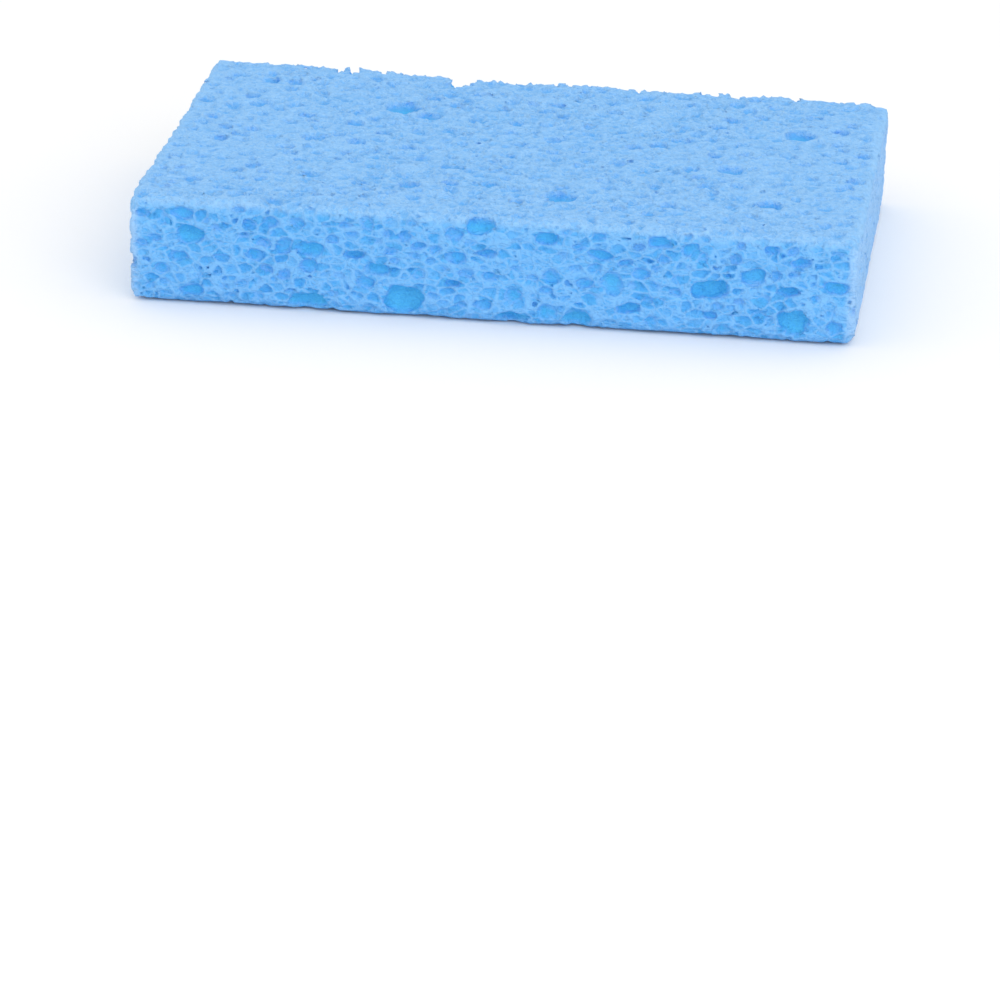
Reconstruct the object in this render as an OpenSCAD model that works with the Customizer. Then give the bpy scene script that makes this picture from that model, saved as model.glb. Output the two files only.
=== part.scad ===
// Cellulose cleaning sponge: one soft-edged block, cut from a slab of foam.
// The cuts open a crowd of pores on all six faces, which nibble at the edges.
// Length runs along X, width along Y, thickness along Z. The front is at -Y, the base on Z = 0.

/* [Block] */
// Length of the sponge
sponge_l = 120; // [60:1:180]
// Width of the sponge
sponge_w = 80; // [45:1:120]
// Thickness of the sponge
sponge_t = 18; // [12:1:40]
// Rounding of the edges round the top and the base
edge_r = 1.4; // [0.6:0.1:3]
// Rounding of three upright corners from above, past that of the edges
corner_r = 1; // [0.5:0.1:4]
// Rounding of the worn upright corner at the back left, past that of the edges
worn_corner_r = 3.6; // [0.5:0.1:8]

/* [Pores on the long sides] */
// Widest seeded pore on the front and the back
side_pore_max = 6; // [3:0.1:8]
// Narrowest seeded pore on the front and the back
side_pore_min = 2.2; // [1.5:0.1:3]
// Places tried for a pore on the front, beside the known ones
front_tries = 420; // [0:10:800]
// Places tried for a pore on the back
back_tries = 240; // [0:10:600]

/* [Pores on the top and the base] */
// Widest pore on the top and the base
top_pore_max = 7; // [3:0.1:9]
// Narrowest pore on the top and the base
top_pore_min = 3; // [1.5:0.1:4]
// Places tried for a pore on the top
top_tries = 210; // [0:10:600]
// Places tried for a pore on the base, which wears fewer
base_tries = 100; // [0:10:600]

/* [Pores on the ends] */
// Widest pore on the two ends
end_pore_max = 5; // [3:0.1:7]
// Narrowest pore on the two ends
end_pore_min = 2.2; // [1.5:0.1:3]
// Places tried for a pore on one end, and again on the other
end_tries = 110; // [0:10:400]

/* [Foam] */
// Thinnest wall left between two pores at the face
pore_wall = 0.4; // [0.3:0.1:1.5]
// Height of a pore on the sides and ends, as a share of its width: the foam lies flattened
flatness = 0.62; // [0.5:0.01:1]
// Depth of a pore on the sides and ends, as a share of its width
side_depth = 0.55; // [0.3:0.05:0.8]
// Depth of a pore on the top and the base, as a share of its width
top_depth = 0.3; // [0.15:0.05:0.5]
// How far a pore's corners stray in and out, as a share of its half width
corner_stray = 0.16; // [0:0.01:0.25]
// Width of a pore's floor, as a share of its mouth
floor_share = 0.5; // [0.3:0.05:0.8]
// Pattern number of the foam: another number gives another crowd of pores
foam_seed = 49; // [1:1:99]

/* [Hidden] */

sponge_blue = [0.44, 0.70, 0.98];

// Large pores that the front is known by: [from the middle, over the base, width, height]
front_pores = [
    [-49.8, 12.1, 4.9, 3.8], [-51.3, 15.8, 3.6, 2.0], [-36.6, 14.8, 3.0, 2.2], [-32.1, 15.1, 2.8, 1.9],
    [-20.7, 16.0, 2.8, 2.9], [-34.4, 11.0, 3.0, 2.7], [-29.8, 10.8, 4.6, 2.2], [-22.4, 10.2, 4.0, 1.9],
    [-51.9, 8.1, 3.3, 1.7], [-44.5, 8.4, 2.6, 1.4], [-18.6, 7.8, 4.3, 2.0], [-20.6, 5.2, 3.3, 2.2],
    [-49.6, 2.4, 4.0, 2.0], [-30.3, 2.0, 6.3, 3.1], [-14.3, 3.1, 6.6, 5.1], [-1.9, 16.4, 5.1, 3.1],
    [9.3, 15.2, 4.0, 2.0], [27.8, 15.7, 3.6, 2.0], [33.0, 14.6, 3.6, 2.2], [18.2, 12.9, 4.0, 1.9],
    [-1.5, 11.7, 3.6, 1.5], [10.3, 8.7, 3.0, 2.4], [15.8, 8.0, 3.0, 1.7], [24.8, 10.2, 3.0, 2.2],
    [3.9, 5.2, 3.0, 2.4], [36.4, 8.4, 6.6, 3.4], [26.1, 5.7, 2.6, 1.6], [9.5, 3.0, 3.3, 2.4],
    [3.7, 1.2, 4.6, 2.4], [14.6, 1.8, 5.4, 3.4], [43.3, 10.8, 3.8, 2.6], [48.8, 8.2, 4.4, 1.7],
    [44.1, 5.1, 2.8, 1.8], [38.7, 1.5, 2.8, 2.0], [49.9, 3.6, 5.0, 3.6], [50.9, 14.0, 3.6, 1.8]
];
// Corners of a narrow pore, and of one that is as wide as the next value or wider
plain_corners = 5;
rounder_corners = 6;
rounder_from_w = 3.6;
// Steps of a full turn round an edge, and round an upright corner from above
edge_steps = 8;
corner_steps = 16;
// How far a pore's cutter stands out of the face, as a share of its depth
outer_rise = 0.5;
// Step to which the sizes of a cutter are rounded
smallest_step = 0.02;

// Kinds of pore: [height as a share of width, depth as a share of width, widest, narrowest]
side_kind = [flatness, side_depth, side_pore_max, side_pore_min];
end_kind = [flatness, side_depth, end_pore_max, end_pore_min];
top_kind = [1, top_depth, top_pore_max, top_pore_min];

// Pattern numbers set aside for one foam, for one face of it and for one pore
seeds_a_foam = 100;
seeds_a_face = 10;
seeds_a_pore = 2;

// A pore is [across the face, up the face, width, height]. Two of them are measured in a face
// stretched upwards, in which they are round.
function apart(a, b) =
    let(roundness = (a[3] + b[3]) / (a[2] + b[2]))
    norm([a[0] - b[0], (a[1] - b[1]) / roundness]) > (a[2] + b[2]) / 2 + pore_wall;
function clear_of(pore, placed) = len([for (other = placed) if (!apart(pore, other)) 1]) == 0;

// Keeps each tried pore that is clear of all that are kept before it
function settle(tried, placed, i = 0) =
    i == len(tried) ? placed
    : settle(tried, clear_of(tried[i], placed) ? concat(placed, [tried[i]]) : placed, i + 1);

// Pores tried all over a face of the given length and height, from the widest to the narrowest
function tries(face_size, kind, n, seed) = n == 0 ? [] :
    let(across = rands(-face_size.x / 2, face_size.x / 2, n, seed))
    let(up = rands(-face_size.y / 2, face_size.y / 2, n, seed + 1))
    let(widest = kind[2])
    let(narrowest = kind[3])
    [for (i = [0:n - 1])
        let(width = widest * pow(narrowest / widest, i / n))
        [across[i], up[i], width, width * kind[0]]];

// The known pores that lie on the front
function known_pores() = [for (pore = front_pores)
    if (abs(pore[0]) < sponge_l / 2 - edge_r && pore[1] < sponge_t - edge_r)
        [pore[0], pore[1] - sponge_t / 2, pore[2], pore[3]]];

// Corners of an uneven ring, as shares of a pore's width and height. An even ring would hold the
// same area as the oval of that width and height.
function ring(n, seed) =
    let(radius = sqrt(PI / (2 * n * sin(360 / n))))
    let(stray = rands(1 - corner_stray, 1 + corner_stray, n, seed))
    let(first = rands(0, 360, 1, seed + 1)[0])
    [for (i = [0:n - 1])
        let(turn = first + 360 * i / n)
        [cos(turn), sin(turn)] * stray[i] * radius];

// Round sizes keep the flat sides of a cutter flat
function rounded(length) = round(length / smallest_step) * smallest_step;

// Cutter of one pore, which narrows from over the face, through its mouth, to its floor
module pore_cutter(width, height, depth, seed) {
    corners = ring(width < rounder_from_w ? plain_corners : rounder_corners, seed);
    mouth = [for (corner = corners) [rounded(corner.x * width), rounded(corner.y * height)]];
    floor_z = -rounded(depth);
    outer_share = 1 + (1 - floor_share) * outer_rise;
    points = concat(
        [for (corner = mouth) [corner.x * outer_share, corner.y * outer_share, -floor_z * outer_rise]],
        [for (corner = mouth) [corner.x * floor_share, corner.y * floor_share, floor_z]]);
    hull()
        polyhedron(points = points, faces = [for (i = [2:len(points) - 1]) [0, i - 1, i]]);
}

// All pores of one face, whose middle is set at a place and turned to look outwards
module face_pores(middle, turn, face_size, kind, n, number, known = []) {
    seed = foam_seed * seeds_a_foam + number * seeds_a_face;
    pores = settle(tries(face_size, kind, n, seed), known);
    translate(middle)
        rotate(turn)
            for (i = [0:1:len(pores) - 1])
                translate([pores[i][0], pores[i][1], 0])
                    pore_cutter(
                        width = pores[i][2],
                        height = pores[i][3],
                        depth = pores[i][2] * kind[1],
                        seed = seed * seeds_a_foam + i * seeds_a_pore);
}

module all_pores() {
    side = [sponge_l, sponge_t];
    end = [sponge_w, sponge_t];
    broad = [sponge_l, sponge_w];
    mid_l = sponge_l / 2;
    mid_w = sponge_w / 2;
    mid_t = sponge_t / 2;
    face_pores([0, -mid_w, mid_t], [90, 0, 0], side, side_kind, front_tries, 1, known_pores());
    face_pores([0, mid_w, mid_t], [90, 0, 180], side, side_kind, back_tries, 2);
    face_pores([-mid_l, 0, mid_t], [90, 0, -90], end, end_kind, end_tries, 3);
    face_pores([mid_l, 0, mid_t], [90, 0, 90], end, end_kind, end_tries, 4);
    face_pores([0, 0, sponge_t], [0, 0, 0], broad, top_kind, top_tries, 5);
    face_pores([0, 0, 0], [180, 0, 0], broad, top_kind, base_tries, 6);
}

// One upright corner of the block: an upright core, rounded out from above by its own radius and
// at its top and base by the edge's
module corner_post(x_side, y_side, core_r) {
    outer_r = core_r + edge_r;
    translate([x_side * (sponge_l / 2 - outer_r), y_side * (sponge_w / 2 - outer_r), 0])
        rotate_extrude($fn = corner_steps)
            intersection() {
                square([outer_r, sponge_t]);
                hull()
                    for (x = [-core_r, core_r], z = [edge_r, sponge_t - edge_r])
                        translate([x, z]) circle(r = edge_r, $fn = edge_steps);
            }
}

module block() {
    hull() {
        corner_post(-1, -1, corner_r);
        corner_post(1, -1, corner_r);
        corner_post(1, 1, corner_r);
        corner_post(-1, 1, worn_corner_r);
    }
}

module sponge() {
    color(sponge_blue)
        difference() {
            block();
            all_pores();
        }
}

sponge();
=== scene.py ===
# %% [markdown]
# # A cellulose cleaning sponge
# The real object is one block of regenerated cellulose, foamed, dyed light blue and sawn from a
# slab. It has no skin and no second layer, so its whole look is foam that a blade has opened.
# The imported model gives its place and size. This lesson makes the rest in three steps: the places
# of the bubbles, one formula that says where foam is, and a mesh of that formula.

# %% Load the frame
import math
import random

import bpy
from mathutils import Matrix, Vector


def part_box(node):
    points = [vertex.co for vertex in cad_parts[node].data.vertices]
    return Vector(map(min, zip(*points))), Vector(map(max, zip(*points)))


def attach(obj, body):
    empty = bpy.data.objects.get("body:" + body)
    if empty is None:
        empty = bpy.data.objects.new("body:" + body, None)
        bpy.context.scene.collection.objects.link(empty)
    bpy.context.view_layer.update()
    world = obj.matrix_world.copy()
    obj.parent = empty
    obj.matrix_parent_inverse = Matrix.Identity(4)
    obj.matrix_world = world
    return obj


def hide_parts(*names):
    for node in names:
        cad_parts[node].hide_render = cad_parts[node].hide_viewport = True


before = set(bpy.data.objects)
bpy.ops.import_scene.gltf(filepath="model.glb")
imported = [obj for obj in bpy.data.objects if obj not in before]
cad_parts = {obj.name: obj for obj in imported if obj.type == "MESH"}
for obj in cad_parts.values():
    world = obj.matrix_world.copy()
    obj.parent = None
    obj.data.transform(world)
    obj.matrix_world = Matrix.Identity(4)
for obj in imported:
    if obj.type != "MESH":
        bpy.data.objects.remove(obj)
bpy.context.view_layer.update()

low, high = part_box("sponge")
print("the sponge's node runs from", [round(v, 4) for v in low], "to", [round(v, 4) for v in high])

# %% [markdown]
# ## Sizes
# Everything about foam is a matter of scale, so the sizes come first. They are in millimetres,
# because pores are, and the block's own three sizes are read from the frame. Only the finished
# mesh is in metres.

# %% Sizes of the block
MM = 0.001
half_l, half_w, half_t = (high - low) / 2 / MM
middle_z = half_t
corner_r = 0.8
worn_corner_r = 2.4
edge_r = 0.7
front_edge_r = 1.8
# Lift of the back left corner, since foam never dries flat
corner_lift = 0.8
# How far the foam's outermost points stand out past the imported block
swell = 0.25
print("half length, width and thickness in mm:", round(half_l, 1), round(half_w, 1), round(half_t, 1))

# %% Sizes of the mesh
voxel = 0.36
foam_triangles = 190_000
print("the foam is sampled every", voxel, "mm and keeps", foam_triangles, "triangles")

# %% [markdown]
# ## Arithmetic on sockets
# Both the foam's shape and its colour are formulas of a place in space. Wiring them node by node
# hides the formula, so one small class wraps a socket and lets Python operators add the nodes.


# %% A socket that Python arithmetic works on
class Wire:
    """An output socket, on which Python's operators add Math and Vector Math nodes."""

    def __init__(self, socket):
        self.socket = socket

    def maths(self, operation, *others):
        wires = [w for w in (self, *others) if isinstance(w, Wire)]
        is_vector = any(w.socket.type == "VECTOR" for w in wires)
        kind = "ShaderNodeVectorMath" if is_vector else "ShaderNodeMath"
        inputs = dict(enumerate((self, *others)))
        return node(self.socket.id_data, kind, {"operation": operation}, inputs)

    def __add__(self, other):
        return self.maths("ADD", other).out(0)

    __radd__ = __add__

    def __sub__(self, other):
        return self.maths("SUBTRACT", other).out(0)

    def __rsub__(self, other):
        return self * -1.0 + other

    def __mul__(self, other):
        return self.maths("MULTIPLY", other).out(0)

    __rmul__ = __mul__

    def __truediv__(self, other):
        return self.maths("DIVIDE", other).out(0)

    def __gt__(self, other):
        return self.maths("GREATER_THAN", other).out(0)

    def __lt__(self, other):
        return self.maths("LESS_THAN", other).out(0)

    def min(self, other):
        return self.maths("MINIMUM", other).out(0)

    def max(self, other):
        return self.maths("MAXIMUM", other).out(0)

    def soft_min(self, other, reach):
        return self.maths("SMOOTH_MIN", other, reach).out(0)

    def dot(self, other):
        return self.maths("DOT_PRODUCT", other).out(1)

    def sign(self):
        return self.maths("SIGN").out(0)

    def abs(self):
        return self.maths("ABSOLUTE").out(0)

    def length(self):
        return self.maths("LENGTH").out(1)

    def ramp(self, start, end, low_value=0.0, high_value=1.0):
        """Goes smoothly from one value to another while the wire goes from start to end."""
        settings = {"interpolation_type": "SMOOTHSTEP"}
        inputs = {0: self, 1: start, 2: end, 3: low_value, 4: high_value}
        return node(self.socket.id_data, "ShaderNodeMapRange", settings, inputs).out(0)

    def parts(self):
        """The three numbers of a vector."""
        made = node(self.socket.id_data, "ShaderNodeSeparateXYZ", {}, {0: self})
        return made.out(0), made.out(1), made.out(2)


# %% The one way in which every node is added
class Made:
    """A node that has been added, for reading its outputs."""

    def __init__(self, made):
        self.made = made

    def out(self, key):
        return Wire(self.made.outputs[key])


def node(tree, kind, settings=None, inputs=None):
    """Adds a node, sets its settings first, and then feeds its sockets values or wires."""
    made = tree.nodes.new(kind)
    for name, value in (settings or {}).items():
        setattr(made, name, value)
    for key, value in (inputs or {}).items():
        socket = made.inputs[key]
        if isinstance(value, Wire):
            tree.links.new(value.socket, socket)
        elif isinstance(value, (int, float)) and socket.type in ("VECTOR", "RGBA"):
            socket.default_value = (value,) * len(socket.default_value)
        else:
            socket.default_value = value
    return Made(made)


def vector(tree, x, y, z):
    return node(tree, "ShaderNodeCombineXYZ", {}, {0: x, 1: y, 2: z}).out(0)


# %% Smooth noise, as a number and as a vector
def noise_node(tree, place, size, detail, roughness):
    inputs = {"Vector": place, "Scale": 1 / size, "Detail": detail, "Roughness": roughness}
    return node(tree, "ShaderNodeTexNoise", {"noise_dimensions": "3D"}, inputs)


def noise(tree, place, size, detail=2.0, roughness=0.5):
    """A smooth random number about 0, with lumps of about the given size."""
    return noise_node(tree, place, size, detail, roughness).out(0) - 0.5


def drift(tree, place, size):
    """A smooth random vector about 0, which turns within about the given size."""
    centred = {0: noise_node(tree, place, size, 1.0, 0.5).out(1), 1: 0.5}
    return node(tree, "ShaderNodeVectorMath", {"operation": "SUBTRACT"}, centred).out(0)


# %% [markdown]
# ## The pores that the eye counts
# Foam shows its largest bubbles first, and a viewer knows a sponge by them. On the front and the
# top they could all be strewn at random, but then no pore would be where the real one is. So the
# large ones are listed one by one, in millimetres, and only the small ones are left to chance.

# %% Pores listed on the front: from the middle, over the base, width, height
front_pores = [
    (-49.8, 12.1, 4.9, 3.8), (-54.6, 14.9, 2.6, 2.7), (-51.3, 15.8, 3.6, 2.0), (-36.6, 14.8, 3.0, 2.2),
    (-32.1, 15.1, 2.8, 1.9), (-20.7, 16.0, 2.8, 2.9), (-16.6, 16.7, 2.0, 2.0), (-37.6, 11.5, 2.6, 1.4),
    (-34.4, 11.0, 3.0, 2.7), (-29.8, 10.8, 4.6, 2.2), (-22.4, 10.2, 4.0, 1.9), (-51.9, 8.1, 3.3, 1.7),
    (-44.5, 8.4, 2.6, 1.4), (-18.6, 8.1, 4.3, 2.0), (-20.6, 5.7, 3.3, 2.2), (-37.1, 6.8, 2.6, 1.5),
    (-48.1, 5.1, 2.0, 1.2), (-54.7, 5.9, 2.6, 2.0), (-49.6, 2.4, 4.0, 2.0), (-30.3, 1.7, 6.3, 3.1),
    (-14.3, 3.1, 6.6, 5.1), (-30.0, 8.2, 3.0, 2.7), (-38.9, 9.1, 3.3, 2.0), (-1.9, 16.6, 5.1, 3.1),
    (-6.0, 15.0, 3.0, 2.0), (9.3, 15.2, 4.0, 2.0), (14.6, 14.2, 2.6, 1.5), (27.8, 15.7, 3.6, 2.0),
    (32.6, 14.9, 3.6, 2.2), (35.0, 13.4, 2.3, 2.0), (18.2, 12.9, 4.0, 1.9), (-5.7, 11.1, 3.3, 2.0),
    (-0.6, 11.9, 3.6, 1.2), (10.3, 8.7, 3.0, 2.4), (15.6, 8.0, 3.0, 1.7), (24.8, 10.2, 3.0, 2.2),
    (-3.9, 8.5, 2.6, 1.4), (-6.2, 6.6, 3.6, 1.2), (20.2, 8.4, 3.6, 3.7), (3.9, 5.0, 3.0, 2.4),
    (36.4, 8.4, 6.6, 3.4), (26.1, 5.7, 2.6, 1.4), (23.0, 4.1, 4.0, 1.7), (9.5, 2.5, 3.3, 2.4),
    (3.7, 1.2, 5.4, 2.4), (14.3, 1.6, 5.4, 3.4), (22.0, 0.5, 3.3, 1.7), (43.3, 10.8, 3.8, 2.6),
    (48.8, 8.8, 4.4, 1.7), (53.2, 8.0, 2.0, 1.4), (44.1, 5.1, 2.8, 1.5), (45.9, 4.0, 2.0, 1.4),
    (36.4, 3.9, 3.3, 1.4), (38.7, 1.3, 2.8, 2.0), (42.8, 0.6, 2.8, 2.0), (40.2, 13.9, 2.5, 2.0),
    (46.1, 15.6, 3.0, 1.5), (50.9, 14.0, 3.6, 1.4), (56.7, 10.1, 4.1, 2.0), (49.9, 3.6, 5.4, 4.3),
    (56.7, 3.1, 3.0, 2.5), (29.9, 0.5, 2.6, 1.2),
]
print(len(front_pores), "pores are placed by hand on the front")

# %% Dents listed on the top: from the middle, towards the back, width
top_dents = [
    (-48.1, 15.9, 3.5), (-33.3, 21.0, 2.5), (-23.3, 19.4, 6.2), (-18.3, 15.5, 4.4), (-6.2, 21.8, 2.8),
    (-56.0, 3.5, 3.0), (-35.6, -1.1, 4.3), (-47.0, 1.3, 2.4), (-35.9, 4.9, 2.4), (-18.9, -4.0, 3.4),
    (-38.5, -11.1, 2.4), (-33.8, -9.6, 2.4), (-10.1, -13.3, 4.2), (-23.0, -14.9, 3.1), (4.4, -37.2, 2.5),
    (-33.1, -21.7, 3.4), (-26.0, -21.9, 2.5), (-15.8, -24.3, 4.2), (-44.1, -26.3, 2.4), (45.0, 4.3, 2.9),
    (-41.8, -31.5, 2.5), (-31.8, -31.0, 2.5), (-5.9, -32.3, 2.5), (19.1, 12.5, 2.6), (22.7, 6.6, 3.4),
    (13.0, 24.7, 2.6), (34.2, 23.7, 3.5), (28.7, 13.9, 2.1), (4.8, 5.8, 3.5), (16.6, -5.3, 2.9),
    (23.5, -5.0, 2.4), (36.3, -5.2, 4.2), (20.6, -18.8, 2.3), (26.3, -13.6, 2.4), (9.7, -25.6, 5.0),
    (21.5, -26.5, 2.8), (37.8, -25.8, 2.8), (44.2, -23.4, 5.0), (45.8, -16.3, 2.0), (55.5, -12.0, 3.3),
    (46.4, 17.1, 5.2), (33.9, 33.6, 3.5),
]
print(len(top_dents), "dents are placed by hand on the top")

# %% Bites out of two of the top's edges, listed one by one
# Out of the back edge: from the middle, width, reach
back_bites = [
    (-15.7, 4.8, 6.5), (-35.2, 2.0, 3.6), (-37.6, 2.2, 3.0), (-29.6, 1.4, 2.4), (-6.5, 2.2, 1.4),
    (4.0, 2.4, 1.2), (16.0, 1.4, 1.6), (24.5, 2.0, 1.2), (33.4, 2.0, 2.2), (35.6, 1.2, 1.6),
    (44.0, 2.4, 1.2), (54.6, 1.4, 1.4),
]
# Out of the left edge: from the middle towards the back, width, reach
left_bites = [
    (27.0, 3.0, 0.7), (12.0, 3.4, 0.7), (1.5, 3.0, 0.6), (-9.0, 2.4, 0.7), (-21.0, 3.4, 0.8),
    (-33.0, 2.6, 0.6),
]
print(len(back_bites + left_bites), "bites are placed by hand at the top's edges")

# %% [markdown]
# ## Bubbles
# A pore is what is left of a bubble that the saw has cut open, so each pore is stored as a whole
# bubble: a middle and three half sizes. The middle lies a little under the face, which makes the
# pore's mouth narrower than its inside and gives it a rim with a shadow, as on the real foam.
# The slab was pressed flat while it set, so bubbles are wider than they are high.

# %% A bubble that opens on a face
flatness = 0.62
pore_depth = 0.6
dent_depth = 0.5
bubbles = []


def add_bubble(middle, half):
    bubbles.append((Vector(middle), Vector(half)))


def open_on(face, across, up, width, height, under):
    """Adds a bubble that opens on a face with the given width and height.

    Its middle lies under the face by a share of its depth, and up is measured from the face's middle.
    """
    mouth_share = math.sqrt(1 - under * under)
    reach = 0.5 * width / mouth_share
    rise = 0.5 * height / mouth_share
    side = 1 if face in ("back", "right", "top") else -1
    if face in ("front", "back"):
        inwards = pore_depth * reach
        out = half_w + swell - under * inwards
        add_bubble((across, side * out, up + half_t), (reach, inwards, rise))
    elif face in ("left", "right"):
        inwards = pore_depth * reach
        out = half_l + swell - under * inwards
        add_bubble((side * out, across, up + half_t), (inwards, reach, rise))
    else:
        inwards = dent_depth * reach
        face_out = half_t + (swell if face == "top" else 0)
        add_bubble((across, up, half_t + side * (face_out - under * inwards)), (reach, rise, inwards))


# %% The bubbles that are listed one by one
for across, up, width, height in front_pores:
    open_on("front", across, up - half_t, width, height, under=0.35)
for across, back, width in top_dents:
    open_on("top", across, back, width * 1.1, width, under=0.2)
# A bite is a bubble whose middle lies on the edge, or just under it
for across, width, reach in back_bites:
    add_bubble((across, half_w, 2 * half_t), (0.5 * width, reach, 0.3 * width + 0.9))
for back, width, reach in left_bites:
    add_bubble((-half_l, back, 2 * half_t - 1.0), (reach, 0.5 * width, 0.6 * width))
print(len(bubbles), "bubbles are placed by hand")

# %% [markdown]
# ## Seeded bubbles
# The small pores only need to look right as a crowd. A scatter tries seeded places from the widest
# pore to the narrowest and keeps each that is clear of all before it, which is how bubbles share a
# slab. A bubble that would only just break a face is left out, because it would show as a black
# pinprick, where the real foam shows a torn film.

# %% What a new bubble must not do
# So many millimetres of foam over a bubble are still a film that would tear
film = 0.5
# A bubble has to stand out of its face by this share of its half size to be a pore
barely_open = 0.4
# How far the corner whose edge is whole reaches along the sponge, and across and down it
whole_l, whole_w = 8.0, 4.0


def is_clear(middle, half, wall):
    """Is a new bubble apart from all that are there, by about the thickness of a wall?"""
    for other, other_half in bubbles:
        spans = [a + b + wall for a, b in zip(half, other_half)]
        if sum(((m - o) / span) ** 2 for m, o, span in zip(middle, other, spans)) < 1:
            return False
    return True


def leaves_thin_skin(middle, half):
    """Would a new bubble only just break through a face, or leave no more than a film under it?"""
    limits = (half_l + swell, half_w + swell, half_t + swell)
    outwards = (abs(middle[0]), abs(middle[1]), abs(middle[2] - half_t))
    overs = [o + h - limit for o, h, limit in zip(outwards, half, limits)]
    return any(-film < over < barely_open * h for over, h in zip(overs, half))


def cuts_whole_corner(middle):
    """Would a new bubble cut the lifted corner at the back left, whose edge is whole?"""
    at_left = middle[0] < whole_l - half_l
    return at_left and middle[1] > half_w - whole_w and middle[2] > 2 * half_t - whole_w


# %% Scatter the seeded bubbles over the six faces
# Bubbles differ by up to this in how far under the face their middles lie
under_spread = 0.15


def scatter(face, spread, widest, narrowest, tries, seed, wall, under):
    """Seeded bubbles on one face, whose half length and half height are its spread."""
    draw = random.Random(seed)
    flats = (0.75, 1) if face in ("top", "base") else (0.45, 0.75)
    before = len(bubbles)
    for i in range(tries):
        width = widest * (narrowest / widest) ** (i / tries)
        across = draw.uniform(-spread[0], spread[0])
        up = draw.uniform(-spread[1], spread[1])
        height = width * draw.uniform(*flats)
        own_under = draw.uniform(under - under_spread, under + under_spread)
        open_on(face, across, up, width, height, own_under)
        middle, half = bubbles.pop()
        if cuts_whole_corner(middle) or leaves_thin_skin(middle, half):
            continue
        if is_clear(middle, half, wall):
            add_bubble(middle, half)
    return len(bubbles) - before


# After its spread, each face gives the widest and narrowest pore, tries, seed, wall and under
counts = {
    "front": scatter("front", (half_l, half_t), 2.6, 1.5, 500, 10, 0.35, 0.35),
    "back": scatter("back", (half_l, half_t), 6.0, 1.6, 900, 11, 0.35, 0.45),
    "left": scatter("left", (half_w, half_t), 4.0, 1.6, 180, 12, 0.9, 0.3),
    "right": scatter("right", (half_w, half_t), 3.2, 1.5, 140, 13, 0.9, 0.25),
    "top": scatter("top", (half_l, half_w), 3.4, 1.3, 1500, 14, 0.45, 0.2),
    "base": scatter("base", (half_l, half_w), 6.0, 2.2, 420, 15, 1.2, 0.2),
}
print("seeded pores on each face:", counts)

# %% [markdown]
# ## Nibbled edges
# A blade leaves a clean edge only in solid stuff. In foam it runs through cells and tears their
# thin walls, so every edge is ragged by about half a millimetre. Noise alone would make it wavy,
# so small bites are strung along each edge, at uneven steps.

# %% Small bites along the edges
end_gap = 2.0
bite_halves = (0.4, 0.9)
bite_steps = (1.4, 4.4)
long_edge_reach = 2.5


def nibble(start, end, seed):
    """Seeded bites along one edge. Those of a long edge reach further in over the top and base."""
    draw = random.Random(seed)
    start, end = Vector(start), Vector(end)
    along = end_gap
    while along < (end - start).length - end_gap:
        middle = start.lerp(end, along / (end - start).length)
        half = Vector([draw.uniform(*bite_halves) for axis in range(3)])
        if end.x != start.x:
            half.y *= long_edge_reach
        if is_clear(middle, half, wall=0.1):
            add_bubble(middle, half)
        along += draw.uniform(*bite_steps)


before = len(bubbles)
top_z = 2 * half_t + swell
base_z = 0.2
out_l = half_l + swell
out_w = half_w + swell
whole_edge = 12.0
for seed, z in ((21, top_z), (31, base_z)):
    nibble((-out_l + whole_edge, out_w, z), (out_l, out_w, z), seed)
    nibble((-out_l, -out_w, z), (-out_l, out_w, z), seed + 1)
    nibble((out_l, -out_w, z), (out_l, out_w, z), seed + 2)
nibble((-out_l, -out_w, base_z), (out_l, -out_w, base_z), 34)
for seed, x, y in ((41, -out_l, -out_w), (42, out_l, out_w), (43, out_l, -out_w)):
    nibble((x, y, 0.0), (x, y, top_z), seed)
print(len(bubbles) - before, "bites at the edges")

# %% The bubbles as points that Geometry Nodes can look up
bubble_mesh = bpy.data.meshes.new("bubble_middles")
bubble_mesh.from_pydata([middle for middle, half in bubbles], [], [])
half_sizes = bubble_mesh.attributes.new("half_size", "FLOAT_VECTOR", "POINT")
for item, (middle, half) in zip(half_sizes.data, bubbles):
    item.vector = half
bubble_points = bpy.data.objects.new("bubble_middles", bubble_mesh)
bpy.context.scene.collection.objects.link(bubble_points)
print(len(bubbles), "bubbles in all")

# %% [markdown]
# ## The block as a formula
# A saw leaves a box with soft edges. A rounded cube would do for the shape, but then the colour
# could not know how deep a place lies. So the block is a depth formula, which says how many
# millimetres a place is under the surface. It serves twice: the foam is carved out of it, and the
# painted shade, a fuller blue deep in the pores, is deepened by it.

# %% The back left corner stands a little proud
lift_start = -12.0
lift_end_gap = 14.0


def flat_place(tree, place):
    """The place that a point of the bowed sponge would have in a flat one."""
    x, y, z = place.parts()
    along = x.ramp(lift_start, lift_end_gap - half_l)
    lift = along * y.ramp(0, half_w) * z.ramp(0, 2 * half_t) * corner_lift
    return place - vector(tree, 0.0, 0.0, lift)


# %% Depth under the block's surface
# The front's softer edges end between these two distances behind it
front_band = (2.0, 5.0)


def block_depth(tree, place):
    """Millimetres from a place to the block's surface, positive inside."""
    x, y, z = place.parts()
    worn = (x < 0.0) * (y > 0.0)
    plan_r = worn * (worn_corner_r - corner_r) + corner_r
    out_x = x.abs() - half_l + plan_r
    out_y = y.abs() - half_w + plan_r
    outside = vector(tree, out_x.max(0.0), out_y.max(0.0), 0.0).length()
    at_front = y.ramp(front_band[1] - half_w, front_band[0] - half_w)
    soft_r = at_front * (front_edge_r - edge_r) + edge_r
    plan = outside + out_x.max(out_y).min(0.0) - plan_r + soft_r
    rise = (z - middle_z).abs() - half_t + soft_r
    rim = vector(tree, plan.max(0.0), rise.max(0.0), 0.0).length()
    return (rim + plan.max(rise).min(0.0) - soft_r) * -1.0


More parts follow.
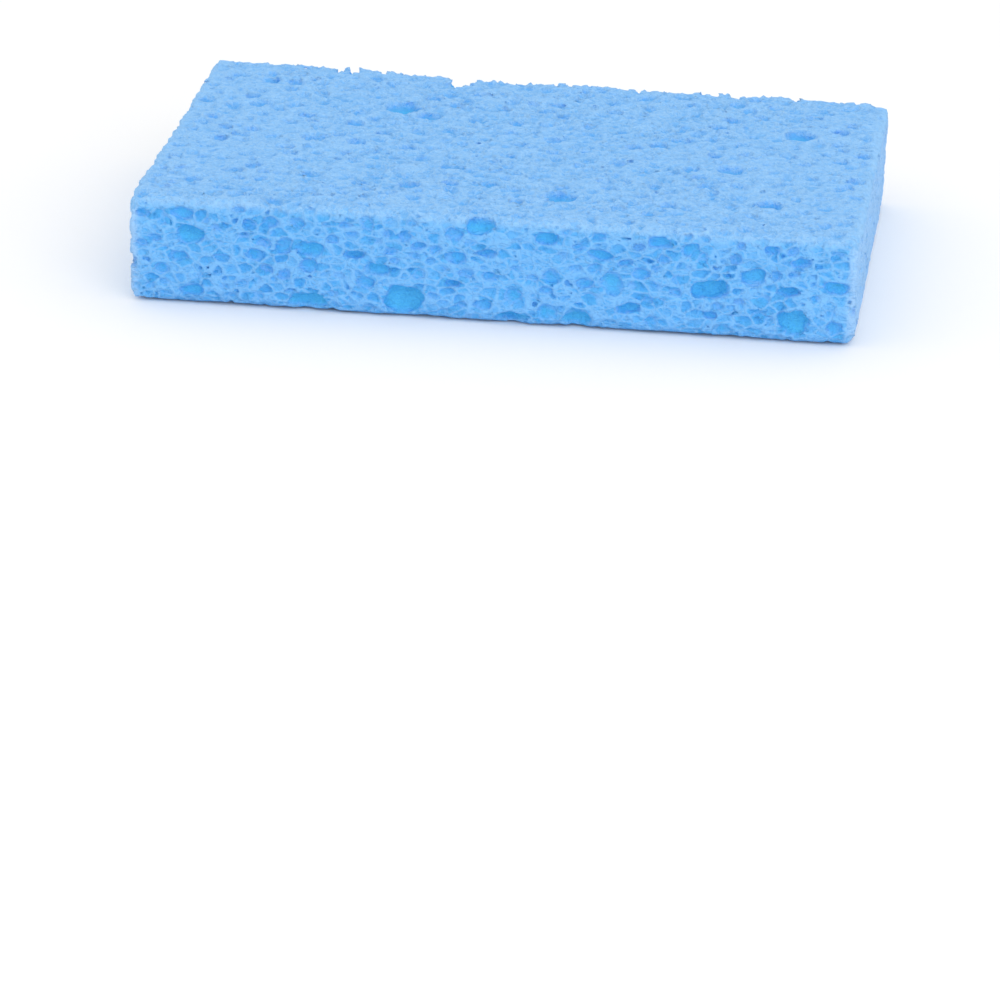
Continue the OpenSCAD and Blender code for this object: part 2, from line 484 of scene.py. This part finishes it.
# %% [markdown]
# ## Carving the foam
# Cutting a thousand bubbles out with booleans would be slow, and would fail where two of them
# touch. A voxel grid samples one formula instead: the block, less the bubbles, less two finer
# crowds of cells. Its surface is turned into a mesh, which makes every overlap, thin wall and
# bitten edge closed and clean.

# %% The foam's tree and its named sizes
foam_tree = bpy.data.node_groups.new("cellulose_foam", "GeometryNodeTree")
foam_tree.is_modifier = True
foam_sizes = {
    "Bubbles": ("NodeSocketObject", bubble_points),
    "Foam": ("NodeSocketMaterial", None),
    "Voxel": ("NodeSocketFloat", voxel),
    "Unevenness": ("NodeSocketFloat", 0.2),
    "Wander": ("NodeSocketFloat", 1.6),
    "Rim": ("NodeSocketFloat", 0.25),
    "Cell Width": ("NodeSocketFloat", 2.3),
    "Cell Wall": ("NodeSocketFloat", 0.34),
    "Cell Depth": ("NodeSocketFloat", 1.3),
    "Fine Cell Width": ("NodeSocketFloat", 1.3),
    "Fine Cell Wall": ("NodeSocketFloat", 0.28),
    "Fine Cell Depth": ("NodeSocketFloat", 0.6),
    "Fibre Height": ("NodeSocketFloat", 0.7),
    "Edge Wear": ("NodeSocketFloat", 0.9),
}
identifiers = {}
for name, (kind, value) in foam_sizes.items():
    socket = foam_tree.interface.new_socket(name, in_out="INPUT", socket_type=kind)
    identifiers[name] = socket.identifier
foam_tree.interface.new_socket("Geometry", in_out="OUTPUT", socket_type="NodeSocketGeometry")
given = node(foam_tree, "NodeGroupInput")
print("the foam's tree takes", ", ".join(foam_sizes))

# %% [markdown]
# ## Uneven bubbles
# Real pores are neither round nor alike. Each bubble is a small ball, set on its point, turned at
# random, stretched to its half sizes, and pushed in or out at every corner. Eighty faces a ball are
# enough, because a pore is a few millimetres wide and its walls are roughened later.

# %% The bubbles as uneven balls
middles = node(foam_tree, "GeometryNodeObjectInfo", {"transform_space": "ORIGINAL"},
               {"Object": given.out("Bubbles")}).out("Geometry")
position = node(foam_tree, "GeometryNodeInputPosition").out(0)
labelled = node(foam_tree, "GeometryNodeStoreNamedAttribute", {"data_type": "FLOAT_VECTOR"},
                {"Geometry": middles, "Name": "middle", "Value": position}).out(0)
ball = node(foam_tree, "GeometryNodeMeshIcoSphere", {}, {"Radius": 1.0, "Subdivisions": 2}).out(0)
turned = node(foam_tree, "FunctionNodeRandomValue", {"data_type": "FLOAT_VECTOR"},
              {"Min": 0.0, "Max": math.tau, "Seed": 3}).out(0)
balls = node(foam_tree, "GeometryNodeInstanceOnPoints", {},
             {"Points": labelled, "Instance": ball, "Rotation": turned}).out(0)
balls = node(foam_tree, "GeometryNodeRealizeInstances", {}, {"Geometry": balls}).out(0)
as_vector = {"data_type": "FLOAT_VECTOR"}
ball_middle = node(foam_tree, "GeometryNodeInputNamedAttribute", as_vector, {"Name": "middle"}).out(0)
ball_half = node(foam_tree, "GeometryNodeInputNamedAttribute", as_vector, {"Name": "half_size"}).out(0)
uneven = node(foam_tree, "FunctionNodeRandomValue", {"data_type": "FLOAT"},
              {"Min": 1.0 - given.out("Unevenness"), "Max": given.out("Unevenness") + 1.0,
               "Seed": 4}).out(1)
balls = node(foam_tree, "GeometryNodeStoreNamedAttribute", as_vector,
             {"Geometry": balls, "Name": "outwards", "Value": (position - ball_middle) / ball_half}).out(0)
grown_place = ball_middle + (position - ball_middle) * ball_half * uneven
balls = node(foam_tree, "GeometryNodeSetPosition", {}, {"Geometry": balls, "Position": grown_place}).out(0)


# %% How far a place is from the nearest bubble
def bubble_field(tree, place):
    """Millimetres outside the nearest bubble, negative inside it.

    The side comes from the even ball's normal: an uneven ball's own is unsure at its corners.
    """
    nearest = node(tree, "GeometryNodeProximity", {"target_element": "FACES"},
                   {0: balls, "Sample Position": place})
    normal = node(tree, "GeometryNodeInputNamedAttribute", as_vector, {"Name": "outwards"}).out(0)
    outwards = node(tree, "GeometryNodeSampleNearestSurface", as_vector,
                    {"Mesh": balls, "Value": normal, "Sample Position": place}).out(0)
    side = (place - nearest.out("Position")).dot(outwards).sign()
    return nearest.out("Distance") * side


# %% [markdown]
# ## Cells between the pores
# Between its large pores the foam is a net of thin walls round small cells. A Voronoi texture
# gives such a net. Cells with upright walls would come out as black slits, because hardly any
# light finds their floors, so each cell is a bowl: its depth grows from its wall at a set slope,
# up to a floor of its own, and one cell in ten is left closed.

# %% Cells: a crowd of bowls with walls between them
closed_share = 0.1
shallow_share = 0.15
floor_blend = 0.15
cell_shift = (17.3, 5.1, 9.7)


def cells(tree, place, width, wall, deepest, steepness, seed):
    """Millimetres into a wall, negative inside a cell, and the depth of the bowl in each cell."""
    shifted = place + tuple(seed * shift for shift in cell_shift)
    cell_place = shifted * (1.0, 1.0, 1 / flatness) / width
    settings = {"Vector": cell_place, "Scale": 1.0, "Randomness": 0.9}
    edge = node(tree, "ShaderNodeTexVoronoi", {"feature": "DISTANCE_TO_EDGE"}, settings).out("Distance")
    colour = node(tree, "ShaderNodeTexVoronoi", {"feature": "F1"}, settings).out("Color")
    chance, share = colour.parts()[:2]
    into_wall = wall * 0.5 - edge * width
    is_open = chance < 1 - closed_share
    floor = is_open * (share * (1 - shallow_share) + shallow_share) * deepest
    return into_wall, (into_wall * -steepness).max(0.0).soft_min(floor, floor_blend)


# %% Places that wander, so that nothing in the foam is straight
wander_size = 4.0
shiver_size = 1.0
shiver_reach = 0.35
calm_depth = 4.0
calm_share = 0.1


def wandering_place(tree, place, reach):
    """A place moved about by noise, but hardly towards a near face, so that no pore sinks under it."""
    x, y, z = place.parts()
    freedom = vector(
        tree,
        x.abs().ramp(half_l - calm_depth, half_l, 1.0, calm_share),
        y.abs().ramp(half_w - calm_depth, half_w, 1.0, calm_share),
        (z - middle_z).abs().ramp(half_t - calm_depth, half_t, 1.0, calm_share),
    )
    wander = drift(tree, place, wander_size)
    shiver = drift(tree, place, shiver_size)
    return place + (wander * reach + shiver * shiver_reach) * freedom


# %% [markdown]
# ## The whole formula
# The saw met the slab in two ways. The sides are cut across the cells and show them open. The top
# and the base lie along them, so there the net hardly shows, and the face is matt, fibrous and
# dented. The ends were cut with a sharper blade and are the smoothest. Each kind of relief is
# therefore scaled by how much a place belongs to a side, an end or the base.

# %% Where a place is: on a side, on an end or underneath
place = flat_place(foam_tree, position / MM)
wandering = wandering_place(foam_tree, place, given.out("Wander"))
x, y, z = place.parts()
from_top = half_t - (z - middle_z).abs()
from_side = half_w - y.abs()
from_end = half_l - x.abs()
sideness = (from_top - from_side.min(from_end)).ramp(-1.0, 1.5)
endness = (from_side - from_end).ramp(-1.0, 1.5)
underneath = z.ramp(1.5, 0.3)
edgeness = from_top.max(from_side.min(from_end)).ramp(1.8, 0.3)
bared = 1.0 - underneath

# %% The block, a little swollen and wavy
wave_size, wave_height = 9.0, 0.7
# The base is drawn in a little, so that its fibres stay off the floor
base_gap = 0.1
waves = noise(foam_tree, place, wave_size) * wave_height
cut = block_depth(foam_tree, place) + waves + z.ramp(0.3, 3.0) * (swell + base_gap) - base_gap

# %% Less the cells and the dents, which stop short of a pore's rim
web_slope, fine_slope = 1.7, 1.5
dimple_size, dimple_depth = 2.2, 0.9
deepest_bowl, bowl_blend = 1.4, 0.4
openness = (sideness * 0.6 + 0.4) * (1.0 - endness * 0.65) * (1.0 - underneath * 0.7)
dimples = noise(foam_tree, place, dimple_size, detail=3.0).ramp(0.05, 0.35) * (1.0 - sideness * 0.7)
bubble_distance = bubble_field(foam_tree, wandering)
web_bowl = cells(foam_tree, wandering, given.out("Cell Width"), given.out("Cell Wall"),
                 given.out("Cell Depth") * openness, web_slope, seed=1)[1]
fine_bowl = cells(foam_tree, wandering, given.out("Fine Cell Width"), given.out("Fine Cell Wall"),
                  given.out("Fine Cell Depth") * openness, fine_slope, seed=2)[1]
off_the_rim = bubble_distance.ramp(0.0, given.out("Rim") * 2.0)
bowls = (web_bowl + fine_bowl).soft_min(openness * deepest_bowl, bowl_blend)
webbed = cut - (bowls + dimples * bared * dimple_depth) * off_the_rim

# %% Less the bubbles, with rough fibres and worn edges
rim_blend = 0.2
fibre_size, wear_size = 1.3, 1.5
fined = webbed.soft_min(bubble_distance, rim_blend)
fibres = noise(foam_tree, place, fibre_size, detail=3.0, roughness=0.55)
rough = (1.0 - sideness * 0.75) * bared + 0.25
wear = noise(foam_tree, place, wear_size)
solid = fined + fibres * rough * given.out("Fibre Height") + wear * edgeness * given.out("Edge Wear")

# %% From the formula to a mesh
margin = 1.0
box_half = (half_l + margin, half_w + margin, half_t + margin)
steps = [round(2 * h / voxel) + 1 for h in box_half]
band = 2.0
density = solid / given.out("Voxel") / (2 * band) + 0.5
low_corner = (-box_half[0] * MM, -box_half[1] * MM, -margin * MM)
high_corner = (box_half[0] * MM, box_half[1] * MM, (2 * half_t + margin) * MM)
volume = node(foam_tree, "GeometryNodeVolumeCube", {}, {
    "Density": density.max(0.0).min(1.0),
    "Background": 0.0,
    "Min": low_corner,
    "Max": high_corner,
    "Resolution X": steps[0],
    "Resolution Y": steps[1],
    "Resolution Z": steps[2],
}).out(0)
skin = node(foam_tree, "GeometryNodeVolumeToMesh", {"resolution_mode": "GRID"},
            {"Volume": volume, "Threshold": 0.5, "Adaptivity": 0.0}).out(0)
print("voxel grid of", steps, "or", round(steps[0] * steps[1] * steps[2] / 1e6, 1), "million places")

# %% Only the largest island stays: closed bubbles inside the foam are never seen
island = node(foam_tree, "GeometryNodeInputMeshIsland").out(0)
count = node(foam_tree, "GeometryNodeAccumulateField", {"data_type": "INT", "domain": "POINT"},
             {"Value": 1, "Group ID": island}).out("Total")
largest = node(foam_tree, "GeometryNodeAttributeStatistic", {"data_type": "FLOAT", "domain": "POINT"},
               {"Geometry": skin, "Attribute": count}).out("Max")
small = node(foam_tree, "FunctionNodeCompare", {"data_type": "FLOAT", "operation": "LESS_THAN"},
             {0: count, 1: largest}).out(0)
kept = node(foam_tree, "GeometryNodeDeleteGeometry", {"domain": "POINT"},
            {"Geometry": skin, "Selection": small}).out(0)
smooth = node(foam_tree, "GeometryNodeSetShadeSmooth", {"domain": "FACE"}, {"Geometry": kept}).out(0)
real = node(foam_tree, "GeometryNodeRealizeInstances", {}, {"Geometry": smooth}).out(0)
finished = node(foam_tree, "GeometryNodeSetMaterial", {},
                {"Geometry": real, "Material": given.out("Foam")}).out(0)
node(foam_tree, "NodeGroupOutput", {}, {"Geometry": finished})
print("the foam's tree has", len(foam_tree.nodes), "nodes")

# %% [markdown]
# ## The dye, with painted light and shade
# Light wanders through cellulose, so thin walls are pale, and the depths of the pores are a full,
# clean blue. Subsurface scattering would give some of it slowly. Here it is painted instead: one
# matt material mixes a few blues by the same depth formula and the same cells that carved the foam,
# so each pale line lies on a real wall. The cells, pores and dents get painted shade, the walls a
# painted glow, and the edges a painted highlight.

# %% The foam's material and its blues
foam_material = bpy.data.materials.new("sponge_foam")
foam_material.use_nodes = True
shader_tree = foam_material.node_tree
shader_tree.nodes.clear()
coordinates = node(shader_tree, "ShaderNodeTexCoord").out("Object")
shader_place = flat_place(shader_tree, coordinates / MM)
shader_depth = block_depth(shader_tree, shader_place)
face_colour = (0.136, 0.473, 0.975, 1.0)
# Painted light: the rim blues, here and below, are paler for the light that comes through thin walls
rim_colour = (0.222, 0.55, 0.99, 1.0)
# Painted shade: a fuller, darker blue for the cells between the pores
side_pit_shade_colour = (0.085, 0.455, 0.94, 1.0)
# Painted shade: a fuller blue for deep in the pores
pore_shade_colour = (0.105, 0.555, 0.96, 1.0)
top_colour = (0.275, 0.58, 0.99, 1.0)
top_rim_colour = (0.36, 0.65, 1.0, 1.0)
# Painted shade: a darker blue for the top's small pits
top_pit_shade_colour = (0.145, 0.44, 0.92, 1.0)
# Painted shade: a darker blue for deep in the top's dents
dent_shade_colour = (0.11, 0.44, 0.93, 1.0)
end_colour = (0.295, 0.57, 0.965, 1.0)
end_rim_colour = (0.36, 0.63, 0.995, 1.0)


def mixed(tree, factor, a, b):
    return node(tree, "ShaderNodeMix", {"data_type": "RGBA"}, {0: factor, 6: a, 7: b}).out(2)


def size_of(name):
    return foam_sizes[name][1]


# %% Which face a place belongs to
shader_x, shader_y, shader_z = shader_place.parts()
topness = shader_z.ramp(2 * half_t - 2.0, 2 * half_t - 0.3)
at_end = shader_x.abs().ramp(half_l - 2.0, half_l - 0.4)

# %% Rims are where the foam's own walls are, and finer fibres lie between them
shader_wandering = wandering_place(shader_tree, shader_place, size_of("Wander"))
web_wall, web_pit = cells(shader_tree, shader_wandering, size_of("Cell Width"), size_of("Cell Wall"),
                          deepest=1.0, steepness=4.0, seed=1)
fine_wall, fine_pit = cells(shader_tree, shader_wandering, size_of("Fine Cell Width"),
                            size_of("Fine Cell Wall"), deepest=1.0, steepness=4.0, seed=2)
ridge_size, thread_size, haze_size, speck_size = 2.2, 0.9, 6.0, 0.8
ridge_noise = noise(shader_tree, shader_wandering, ridge_size, detail=3.0, roughness=0.6)
ridges = ridge_noise.abs().ramp(0.07, 0.0)
threads = noise(shader_tree, shader_wandering, thread_size).abs().ramp(0.08, 0.0)
haze = noise(shader_tree, shader_place, haze_size).ramp(-0.1, 0.15, 0.4, 1.0)
# Painted shade: specks of pit blue, a few more on the top
speck_shade = (noise(shader_tree, shader_place, speck_size) + topness * 0.05).ramp(0.05, 0.18)
netted = 1.0 - topness * 0.9
finer = (fine_wall.ramp(-0.1, 0.06) * netted * 0.8).max(ridges * 0.7).max(threads * haze * 0.8)
rim = (web_wall.ramp(-0.12, 0.08) * netted).max(finer * (1.0 - web_pit * netted * 0.8))

# %% Depth: painted shade, the blue is fullest in the pores
blotch_size = 1.2
blotch = noise(shader_tree, shader_place, blotch_size, roughness=0.6)
side_depth = (shader_depth + blotch * 0.8).ramp(0.1, 1.6)
top_depth = (shader_depth + blotch * 0.3).ramp(-0.25, 0.7)
painted_depth_shade = side_depth + (top_depth - side_depth) * topness
# Painted light: near the surface the walls and fibres glow pale
rim_glow = rim * (shader_depth + blotch * 0.8).ramp(1.2, 0.2)

# %% Painted highlight: the edges are pale, where they catch the light
from_faces = [half_l - shader_x.abs(), half_w - shader_y.abs(), half_t - (shader_z - middle_z).abs()]
nearer, farther = from_faces[0].min(from_faces[1]), from_faces[0].max(from_faces[1])
edge_highlight = nearer.max(farther.min(from_faces[2])).ramp(1.0, 0.2)

# %% The blues of the sides, the ends and the top
# The top's blues are paler than the sides': partly the slab's own pale skin, and partly painted light,
# since the top catches more light and the sides lie in the shade of their many pores
surface_colour = mixed(shader_tree, at_end, face_colour, end_colour)
surface_colour = mixed(shader_tree, topness, surface_colour, top_colour)
surface_rim = mixed(shader_tree, at_end, rim_colour, end_rim_colour)
surface_rim = mixed(shader_tree, topness, surface_rim, top_rim_colour)
pit_shade_colour = mixed(shader_tree, topness, side_pit_shade_colour, top_pit_shade_colour)
depth_shade_colour = mixed(shader_tree, topness, pore_shade_colour, dent_shade_colour)

# %% From the surface to the cells and the depths, in painted shade, and the pale rims, in painted light
pitted = 1.0 - topness * 0.5
# Painted shade: the cells and the specks get a darker blue
pit_shade_share = (web_pit.max(fine_pit * 0.6) * pitted).max(speck_shade * 0.6) * (1.0 - at_end * 0.6)
colour = mixed(shader_tree, pit_shade_share * 0.9, surface_colour, pit_shade_colour)
# Painted shade: the blue grows fuller with depth, and darker on the top
colour = mixed(shader_tree, painted_depth_shade, colour, depth_shade_colour)
# The blade that cut the ends left upright streaks, so their noise is stretched upwards
streak_size = 0.6
drawn_up = (1.0, 1.0, 0.12)
streaks = noise(shader_tree, shader_place * drawn_up, streak_size).ramp(-0.15, 0.2)
# Pale blue for the blade's streaks on the ends, and painted light: the glow of the walls and the highlight
# of the edges
paleness = rim_glow.max(streaks * at_end * 0.8).max(edge_highlight * haze * 0.8)
colour = mixed(shader_tree, paleness, colour, surface_rim)

# %% A grain too fine for the mesh, and a matt finish
grain_size = 0.7
grain = noise(shader_tree, shader_place, grain_size, detail=3.0, roughness=0.65)
bump = node(shader_tree, "ShaderNodeBump", {}, {
    "Strength": 0.6,
    "Distance": 0.0004,
    "Height": grain + fine_wall.ramp(-0.3, 0.1) * 0.5 + threads * 0.4,
}).out(0)
principled = node(shader_tree, "ShaderNodeBsdfPrincipled", {}, {
    "Base Color": colour,
    "Roughness": 0.9,
    "Specular IOR Level": 0.15,
    "Normal": bump,
})
node(shader_tree, "ShaderNodeOutputMaterial", {}, {"Surface": principled.out(0)})
print("the foam's material has", len(shader_tree.nodes), "nodes")

# %% [markdown]
# ## The finished piece
# The tree runs once, on an empty carrier, and its result is kept as a plain mesh. Voxels spend as
# many triangles on a flat spot as on a thin wall. Decimate takes them off the flat spots, which
# keeps the piece light and hardly moves a wall.

# %% Grow the foam
carrier = bpy.data.objects.new("foam_carrier", bpy.data.meshes.new("foam_carrier"))
bpy.context.scene.collection.objects.link(carrier)
grower = carrier.modifiers.new("foam", "NODES")
grower.node_group = foam_tree
for name, (kind, value) in foam_sizes.items():
    grower[identifiers[name]] = foam_material if name == "Foam" else value
bpy.context.view_layer.update()
grown_mesh = bpy.data.meshes.new_from_object(carrier.evaluated_get(bpy.context.evaluated_depsgraph_get()))
bpy.data.objects.remove(carrier)
bpy.data.objects.remove(bubble_points)
grown_triangles = sum(len(p.vertices) - 2 for p in grown_mesh.polygons)
print("the voxels give", grown_triangles, "triangles")

# %% Thin its mesh and keep it as a plain piece
grown = bpy.data.objects.new("foam_grown", grown_mesh)
bpy.context.scene.collection.objects.link(grown)
thinner = grown.modifiers.new("thin", "DECIMATE")
thinner.ratio = min(1.0, foam_triangles / grown_triangles)
bpy.context.view_layer.update()
foam_mesh = bpy.data.meshes.new_from_object(grown.evaluated_get(bpy.context.evaluated_depsgraph_get()))
foam_mesh.name = "sponge_foam"
sponge_foam = bpy.data.objects.new("sponge_foam", foam_mesh)
bpy.context.scene.collection.objects.link(sponge_foam)
bpy.data.objects.remove(grown)
print("the foam keeps", sum(len(p.vertices) - 2 for p in foam_mesh.polygons), "triangles")

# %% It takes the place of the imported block
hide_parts("sponge")
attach(sponge_foam, "root")

# %% [markdown]
# ## Floor, light and camera
# The sponge is shown on plain white, under a broad soft light from above and in front, as small
# goods are photographed. The white is what only the camera sees, a pure white floor and room. The
# light meets a greyer floor and a slightly dimmer room, which leaves the sponge its own blues, and
# the floor still takes the sponge's shadow.

# %% The floor
floor_reach = 6.0
floor_drop = 0.0002
lit_floor = (0.9, 0.9, 0.9, 1.0)
seen_floor = (1.0, 1.0, 1.0, 1.0)
floor_mesh = bpy.data.meshes.new("floor")
floor_corners = [(x * floor_reach, y * floor_reach, 0) for x, y in ((-1, -1), (1, -1), (1, 1), (-1, 1))]
floor_mesh.from_pydata(floor_corners, [], [(0, 1, 2, 3)])
floor = bpy.data.objects.new("floor", floor_mesh)
floor.location.z = -floor_drop
bpy.context.scene.collection.objects.link(floor)
floor_material = bpy.data.materials.new("floor")
floor_material.use_nodes = True
floor_tree = floor_material.node_tree
floor_tree.nodes.clear()
seen = node(floor_tree, "ShaderNodeLightPath").out("Is Camera Ray")
floor_colour = mixed(floor_tree, seen, lit_floor, seen_floor)
floor_shader = node(floor_tree, "ShaderNodeBsdfDiffuse", {}, {"Color": floor_colour})
node(floor_tree, "ShaderNodeOutputMaterial", {}, {"Surface": floor_shader.out(0)})
floor_mesh.materials.append(floor_material)
print("the floor lies", floor_drop / MM, "mm under the sponge")

# %% The world: an even white room
world = bpy.data.worlds.new("studio")
bpy.context.scene.world = world
world.use_nodes = True
world_tree = world.node_tree
world_tree.nodes.clear()
world_light = node(world_tree, "ShaderNodeBackground", {}, {"Color": 1.0, "Strength": 0.97})
world_seen = node(world_tree, "ShaderNodeBackground", {}, {"Color": 1.0, "Strength": 1.0})
path = node(world_tree, "ShaderNodeLightPath").out("Is Camera Ray")
world_inputs = {0: path, 1: world_light.out(0), 2: world_seen.out(0)}
world_mix = node(world_tree, "ShaderNodeMixShader", {}, world_inputs)
node(world_tree, "ShaderNodeOutputWorld", {}, {"Surface": world_mix.out(0)})


# %% The lamp: one large softbox, in front and to the right
def softbox(name, place, aim, size, power):
    lamp = bpy.data.lights.new(name, "AREA")
    lamp.shape = "SQUARE"
    lamp.size = size
    lamp.energy = power
    lamp_object = bpy.data.objects.new(name, lamp)
    lamp_object.location = place
    lamp_object.rotation_euler = (Vector(place) - Vector(aim)).to_track_quat("Z", "Y").to_euler()
    bpy.context.scene.collection.objects.link(lamp_object)


softbox("key_softbox", place=(0.5, -0.9, 0.5), aim=(0, 0, 0), size=0.8, power=2.5)
print("lit by the room and", len(bpy.data.lights), "softbox")

# %% The camera, at the photograph's viewing angle
azimuth, elevation, roll = math.radians(6.96), math.radians(21.01), math.radians(1.52)
distance = 0.8816
target = Vector((-0.00218, -0.0003, -0.04625))
back = Vector((
    math.sin(azimuth) * math.cos(elevation),
    -math.cos(azimuth) * math.cos(elevation),
    math.sin(elevation),
))
camera_data = bpy.data.cameras.new("camera")
camera_data.lens = 181.3
camera_data.sensor_width = 36.0
camera_data.clip_start = 0.05
camera_data.clip_end = 30.0
camera = bpy.data.objects.new("camera", camera_data)
camera.matrix_world = (
    Matrix.Translation(target + back * distance)
    @ back.to_track_quat("Z", "Y").to_matrix().to_4x4()
    @ Matrix.Rotation(roll, 4, "Z")
)
bpy.context.scene.collection.objects.link(camera)
bpy.context.scene.camera = camera
bpy.context.scene.view_settings.view_transform = "Standard"
print("the camera stands", distance, "m from its target, with a lens of", camera_data.lens, "mm")
